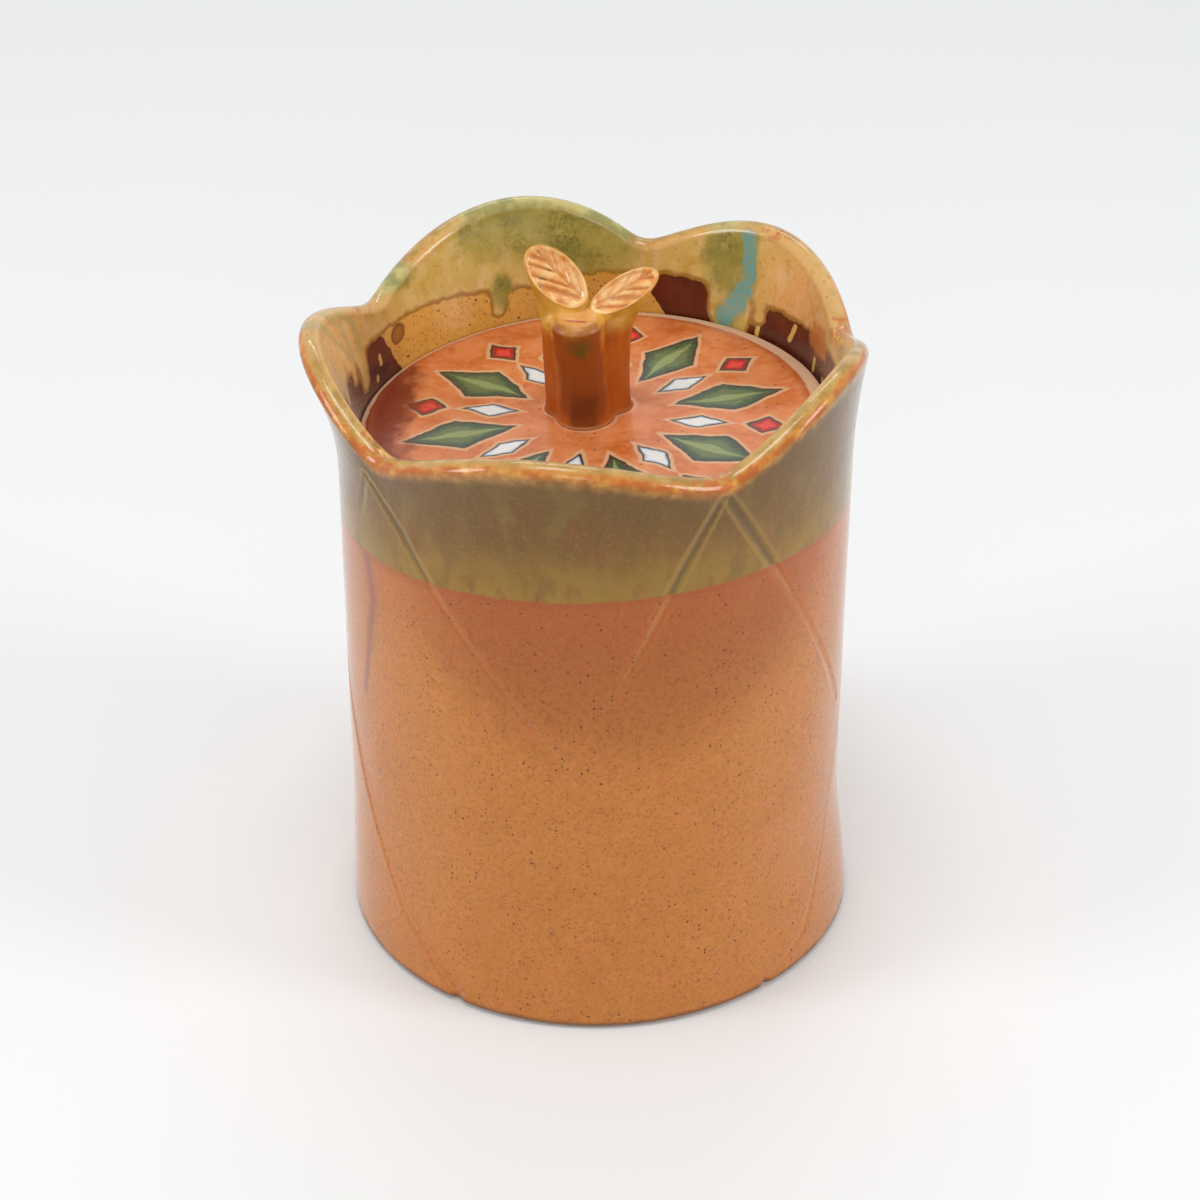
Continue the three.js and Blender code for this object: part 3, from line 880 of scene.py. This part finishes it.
def lip_glaze(s, green):
    """Amber outside the lip, olive on its crest and peach inside, burnt at the dips, green at the back."""
    across = s.shaken("crest", 5, 1.3, 3)
    amber = s.fade((0.48, 0.15, 0.006), (0.66, 0.31, 0.045), s.noise(3, 4), 0.35, 0.65)
    crest = s.fade((0.36, 0.2, 0.03), (0.54, 0.34, 0.1), s.noise(4, 4), 0.35, 0.65)
    lip = s.fade(amber, crest, across, -3, -0.8)
    lip = s.fade(lip, (0.68, 0.37, 0.1), across, 0.4, 2.4)
    lip = s.mix(s.times("blush", 0.85), lip, (0.72, 0.42, 0.15))
    broken = s.times(s.between(across, -5, -3.4), s.between(across, -1.4, -3))
    lip = s.fade(lip, (0.48, 0.1, 0.004), s.noise(4, 4), 0.35, 0.6, s.times(broken, 0.85))
    spots = s.add(s.times("burn", 0.2), s.noise(2, 5))
    lip = s.fade(lip, (0.5, 0.11, 0.008), spots, 0.58, 0.74, 0.75)
    mossy = s.fade((0.52, 0.46, 0.17), (0.26, 0.27, 0.08), s.noise(6, 4), 0.44, 0.62)
    return streaked(s, s.mix(s.times(green, 0.9), lip, mossy))


def inside_glaze(s, lip, green):
    """The runny glaze inside the rim, over a tan and a chocolate band."""
    upper = s.mix(s.noise(6, 4), (0.52, 0.34, 0.06), (0.68, 0.5, 0.16))
    upper = s.mix(s.times("blush", 0.9), upper, (0.76, 0.39, 0.14))
    upper = s.fade(upper, (0.74, 0.5, 0.25), s.noise(3.5, 5, 0.5), 0.46, 0.68, 0.6)
    upper = s.fade(upper, (0.52, 0.25, 0.035), s.noise(5, 5), 0.54, 0.7, 0.6)
    upper = s.fade(upper, (0.56, 0.2, 0.03), s.noise(1.1, 5), 0.56, 0.7, 0.5)
    upper = s.mix(s.times(green, 0.7), upper, (0.3, 0.28, 0.055))
    upper = s.fade(upper, (0.19, 0.18, 0.035), s.noise(10, 4), 0.4, 0.65, s.times(green, 0.55))
    clouded = s.between(s.noise(7, 4), 0.35, 0.62, s.times(green, 0.6))
    upper = s.fade(upper, (0.085, 0.09, 0.02), s.noise(0.9, 4), 0.35, 0.7, clouded)
    upper = streaked(s, upper)
    brushed = s.add(s.shaken("teal", 0.9, 0.5, 4), s.times(s.noise(2, 3, 0.22), 5))
    teal = s.fade((0.1, 0.36, 0.38), (0.2, 0.34, 0.24), s.noise(1.5, 3), 0.35, 0.7)
    upper = s.fade(upper, (0.2, 0.25, 0.08), brushed, 1, 2.8, 0.6)
    upper = s.fade(upper, teal, brushed, 2.5, 3.5, 0.85)
    upper = s.fade(upper, lip, s.shaken("crest", 4, 1.5), 5, 1.5)

    chocolate = s.fade((0.07, 0.008, 0.001), (0.13, 0.019, 0.002), s.noise(5, 3, 0.7), 0.3, 0.7)
    lower = s.mix(s.noise(8, 4), (0.6, 0.29, 0.04), (0.76, 0.43, 0.1))
    lower = speckled(s, s.fade(lower, (0.5, 0.22, 0.025), s.noise(1.4, 4), 0.45, 0.7, 0.3))
    lower = s.fade(lower, chocolate, s.shaken("chocolate", 3, 1.2), -0.15, 0.15)
    spot = s.shaken("spot", 1.5, 0.15)
    lower = s.fade(lower, (0.16, 0.055, 0.003), spot, 0.3, 0.42, 0.9)
    lower = s.fade(lower, (0.36, 0.14, 0.01), spot, 0.48, 0.75, 0.8)
    lower = s.fade(lower, (0.66, 0.44, 0.12), s.shaken("grains", 1.5, 0.3), -0.1, 0.1)
    drip = s.shaken("drip", 2.4, 0.9)
    edge = s.mix(green, (0.3, 0.12, 0.008), (0.32, 0.25, 0.035))
    upper = s.fade(upper, edge, drip, 1.6, 0.4, 0.85)
    colour = s.fade(lower, upper, drip, -0.2, 0.2)
    rust = s.times("rust", s.add(s.noise(2.2, 5), 0.5))
    return s.fade(colour, (0.52, 0.17, 0.014), rust, 0.45, 0.75, 0.85)


def wall_glaze():
    """All the glazes of the wall, a painted contact shadow along its foot, and the bare clay it stands on.
    """
    s = Shader("wall_glaze", IOR=1.48, Sheen_Weight=0.19, Sheen_Roughness=0.35)
    above = s.shaken("olive", 1.1, 0.7)
    outside = s.fade(body_glaze(s), (0.3, 0.055, 0.006), above, -2.6, -0.3, 0.45)
    outside = s.fade(outside, dip_glaze(s), above, -0.3, 0.4)
    green = s.between(s.times("green", s.add(s.noise(5, 5), 0.5)), 0.15, 0.8)
    lip = lip_glaze(s, green)
    outside = s.fade(outside, lip, s.shaken("crest", 3, 1.2, 3), -6.5, -2.5)
    colour = s.fade(outside, inside_glaze(s, lip, green), "crest", -0.6, 0.6)
    up_foot = s.times(s.axis("Z"), 1 / FOOT_ROUND)
    # Painted shade: a dark brown band just above the foot stands for the contact shadow where the canister
    # meets the floor, and is made rougher there
    painted_foot_shade = s.between(s.shaken(up_foot, 6, 0.35), 1.8, 0.9, 0.8)
    bare = s.between(s.shaken(up_foot, 2, 0.2), 0.5, 0.15)
    colour = s.mix(painted_foot_shade, colour, (0.15, 0.05, 0.012))
    colour = s.mix(bare, colour, (0.24, 0.12, 0.06))
    matt = s.add(s.times(painted_foot_shade, 0.5), s.times(bare, 0.2))
    uneven = s.add(s.between(s.noise(1.2, 3), 0.3, 0.7, 0.12), 0.08)
    return s.paint(colour, s.noise(1.6, 3), 0.06, s.add(uneven, matt))


def bare_clay():
    """Unglazed stoneware, matt and slightly gritty, with iron specks."""
    s = Shader("bare_clay", IOR=1.45, Roughness=0.75)
    colour = s.mix(s.noise(7, 4), (0.42, 0.24, 0.13), (0.55, 0.34, 0.2))
    colour = s.mix(s.specks(2.6, 0.5, 0.8), colour, (0.09, 0.04, 0.02))
    return s.paint(colour, s.noise(0.5, 4), 0.12)


def liner_glaze():
    """The amber glaze inside the canister."""
    s = Shader("liner_glaze", IOR=1.5, Roughness=0.15)
    colour = speckled(s, s.mix(s.noise(9, 3), (0.5, 0.22, 0.03), (0.62, 0.31, 0.06)))
    return s.paint(colour, s.noise(1.6, 3), 0.06)


def knob_glaze():
    """Amber glaze that pools dark on the stalks and thins on the leaves, with dark veins."""
    s = Shader("knob_glaze", IOR=1.5)
    depth = s.axis("Y")
    climb = s.shaken("climb", 5, 3, 3)
    stalk = s.mix(s.noise(4, 3, 0.4), (0.3, 0.05, 0.002), (0.6, 0.15, 0.008))
    front = s.between(s.shaken(depth, 5, 2.5), -1.6, -4.6)
    stalk = s.fade(stalk, (0.24, 0.043, 0.001), climb, 0, 5, s.times(front, 0.8))
    pooled = s.between(s.shaken(depth, 4, 1.5), -5, -6.6, 0.6)
    stalk = s.fade(stalk, (0.08, 0.018, 0.001), climb, 13, 6, pooled)
    stalk = s.fade(stalk, (0.1, 0.068, 0.007), s.shaken("run", 2.5, 0.25), 0.15, 1, 0.85)
    thin = s.fade((0.5, 0.22, 0.012), (0.7, 0.38, 0.06), s.noise(5, 3), 0.3, 0.7)
    colour = s.fade(stalk, thin, s.add(s.times(front, -3.4), climb), 19.5, 27)
    face = s.fade((0.74, 0.3, 0.07), (0.86, 0.54, 0.22), s.noise(3, 4), 0.35, 0.65)
    colour = s.mix("blade", colour, face)
    colour = s.fade(colour, (0.5, 0.15, 0.025), "vein", 0.35, 0.95, 0.75)
    dark = s.between(s.noise(3, 3), 0.5, 0.64, "vein")
    colour = s.fade(colour, (0.1, 0.06, 0.02), dark, 0.5, 1.0, 0.75)
    colour = s.mix(s.times("cut_top", 0.8), colour, (0.76, 0.36, 0.1))
    colour = s.fade(colour, (0.45, 0.07, 0.015), "crease", 0.1, 0.7)
    colour = s.fade(colour, (0.62, 0.25, 0.09), "climb", 0.9, 0.2, 0.7)
    return s.paint(colour, s.noise(1.5, 3), 0.05, s.add(s.times("blade", -0.21), 0.38))


def lozenges(s, radius, angle, start, place, half_length, half_width):
    """Distance in millimetres inside a ring of lozenges that point outward."""
    sector = 2 * math.pi / RING_COUNT
    local = s.add(s.math("FLOORED_MODULO", s.add(angle, start), sector), -sector / 2)
    out = s.math("ABSOLUTE", s.add(s.times(radius, s.math("COSINE", local)), -place))
    aside = s.math("ABSOLUTE", s.times(radius, s.math("SINE", local)))
    total = s.add(s.times(out, 1 / half_length), s.times(aside, 1 / half_width))
    scale = half_length * half_width / math.hypot(half_length, half_width)
    return s.times(s.math("SUBTRACT", 1.0, total), scale)


def flat_radius(s, place):
    """Distance of a place from the middle, seen from above."""
    return s.times(s.vector("LENGTH", s.vector("MULTIPLY", place, (1, 1, 0))), 1 / MM)


def hand_drawn(s, size, amount):
    """The place, pushed about by noise so that edges drawn there waver."""
    centred = s.vector("SUBTRACT", s.noise(size, output="Color"), (0.5, 0.5, 0.5))
    return s.vector("MULTIPLY_ADD", centred, (2 * amount * MM,) * 3, s.place)


def painted_ring(s, ground):
    """A ring of painted lozenges: green ones, with red and white ones between them."""
    place = hand_drawn(s, 6, 1.1)
    radius = flat_radius(s, place)
    angle = s.math("ARCTAN2", s.axis("Y", place), s.axis("X", place))
    between = RING_START + math.pi / RING_COUNT
    green = lozenges(s, radius, angle, RING_START, *GREEN_LOZENGE)
    core = lozenges(s, radius, angle, RING_START, *GREEN_CORE)
    red = lozenges(s, radius, angle, between, *RED_LOZENGE)
    white = lozenges(s, radius, angle, between, *WHITE_LOZENGE)
    green_tone = s.fade((0.035, 0.085, 0.04), (0.12, 0.17, 0.06), s.shaken(green, 1.2, 1.2), 1.2, 3)
    green_tone = s.fade(green_tone, (0.3, 0.36, 0.14), core, -0.3, 0.3, 0.8)
    red_tone = s.fade((0.42, 0.012, 0.014), (0.8, 0.05, 0.04), s.shaken(red, 2, 0.6), 1, 2)
    white_tone = s.fade((0.45, 0.55, 0.72), (0.82, 0.82, 0.78), s.shaken(white, 2, 0.5), 0.5, 1.2)
    colour = ground
    for inside, fill, outline in ((green, green_tone, 0.6), (red, red_tone, 0.4), (white, white_tone, 0.3)):
        colour = s.fade(colour, (0.74, 0.46, 0.26), inside, -1.2, -0.8, 0.75)
        colour = s.fade(colour, (0.012, 0.022, 0.014), inside, -0.25, 0.05, 0.95)
        colour = s.fade(colour, fill, inside, outline, outline + 0.3)
    return s.fade(colour, ground, s.noise(0.9, 3), 0.5, 0.75, 0.12)


def knob_line(s):
    """A pale line scratched round the knob's foot."""
    stalks = [(stalk_x(0), STALK_Y, STALK_RADIUS)]
    stalks += [(KNOB_X + side * LEAF_STALK_SPACING / 2, KNOB_Y, LEAF_STALK_RADIUS) for side in (-1, 1)]
    level = s.vector("MULTIPLY", s.place, (1, 1, 0))
    nearest = 1.0
    for x, y, radius in stalks:
        reach = s.vector("DISTANCE", level, (x * MM, y * MM, 0))
        nearest = s.math("SMOOTH_MIN", s.add(reach, -radius * MM), nearest, 2 * MM)
    away = s.shaken(s.times(nearest, 1 / MM), 3, 0.5)
    return s.between(away, 0.3, 0.7, s.between(away, 1.6, 1.1, 0.7))


def lid_glaze():
    """Terracotta glaze round a painted ring, darker at one side, with a bare pale edge."""
    s = Shader("lid_glaze", IOR=1.5)
    centred = s.vector("ADD", s.place, (-LID_FACE_SHIFT * MM, 0, 0))
    reach = flat_radius(s, centred)
    ground = s.fade((0.6, 0.14, 0.02), (0.76, 0.25, 0.085), s.noise(9, 4), 0.3, 0.7)
    ground = s.fade(ground, (0.78, 0.31, 0.13), s.noise(2.2, 4), 0.45, 0.7, 0.4)
    ground = s.fade(ground, (0.5, 0.085, 0.008), s.noise(5, 5), 0.56, 0.7, 0.5)
    ground = s.mix(s.specks(2.2, 0.5, 0.7), ground, (0.14, 0.03, 0.006))
    colour = painted_ring(s, ground)
    aside = s.shaken(s.axis("X", centred), 7, 8, 3)
    colour = s.fade(colour, (0.2, 0.018, 0.001), aside, -40, -46, 0.95)
    colour = s.mix(knob_line(s), colour, (0.76, 0.42, 0.24))
    edge = LID_EDGE - LID_BARE_WIDTH
    colour = s.fade(colour, (0.42, 0.08, 0.012), reach, edge - 3, edge - 0.3, 0.4)
    clay = s.mix(s.noise(6, 4), (0.66, 0.38, 0.21), (0.78, 0.5, 0.32))
    bare = s.between(s.shaken(reach, 5, 0.5), edge - 0.25, edge + 0.25)
    colour = s.mix(bare, colour, clay)
    return s.paint(colour, s.noise(2.5, 3), 0.12, s.add(s.times(bare, 0.45), 0.24))


def pale_floor():
    """A large pale floor that runs into the white far from the part."""
    s = Shader("floor", Base_Color=(0.856, 0.87, 0.875, 1), Roughness=0.6, Emission_Color=(1, 1, 1, 1))
    reach = s.vector("LENGTH", s.place)
    seen = s.node("ShaderNodeLightPath", {}).outputs["Is Camera Ray"]
    s.tree.links.new(s.times(seen, s.between(reach, *FLOOR_FADE)), s.surface.inputs["Emission Strength"])
    mesh = bpy.data.meshes.new("floor")
    far = FLOOR_HALF
    mesh.from_pydata([(-far, -far, 0), (far, -far, 0), (far, far, 0), (-far, far, 0)], [], [(0, 1, 2, 3)])
    mesh.materials.append(s.material)
    add_object("floor", mesh)


def white_tent():
    """A world that lights softly, and looks white to the camera and in a gloss."""
    world = bpy.data.worlds.new("tent")
    world.use_nodes = True
    bpy.context.scene.world = world
    s = Nodes(world.node_tree)
    rays = s.node("ShaderNodeLightPath", {}).outputs
    seen = s.math("MAXIMUM", rays["Is Camera Ray"], rays["Is Glossy Ray"])
    strength = s.node("ShaderNodeMapRange", {}, ("Value", seen), ("To Min", TENT_LIGHT)).outputs[0]
    sky = s.tree.nodes["Background"]
    sky.inputs["Color"].default_value = (1, 1, 1, 1)
    s.tree.links.new(strength, sky.inputs["Strength"])


def soft_boxes():
    """Area lights overhead, in front, at both sides and above the back."""
    for name, place, width, depth, power in SOFT_BOXES:
        light = bpy.data.lights.new(name, "AREA")
        light.shape = "RECTANGLE"
        light.size = width
        light.size_y = depth
        light.energy = power
        lamp = add_object(name, light)
        lamp.location = place
        lamp.rotation_euler = (Vector(LIGHT_TARGET) - Vector(place)).to_track_quat("-Z", "Y").to_euler()


def camera():
    """The photograph's view: a long lens in front, looking down."""
    view = bpy.data.cameras.new("camera")
    view.lens = CAMERA_LENS
    eye = add_object("camera", view)
    eye.location = CAMERA_PLACE
    eye.rotation_euler = (math.pi / 2 - CAMERA_PITCH, 0, 0)
    bpy.context.scene.camera = eye


camera()
pale_floor()
white_tent()
soft_boxes()
bpy.context.scene.view_settings.view_transform = "Standard"
clay_material = bare_clay()
liner_material = liner_glaze()
wall(wall_glaze())
floor_pieces(clay_material, liner_material)
ledge_and_flange(clay_material, liner_material)
lid(lid_glaze())
knob(knob_glaze())
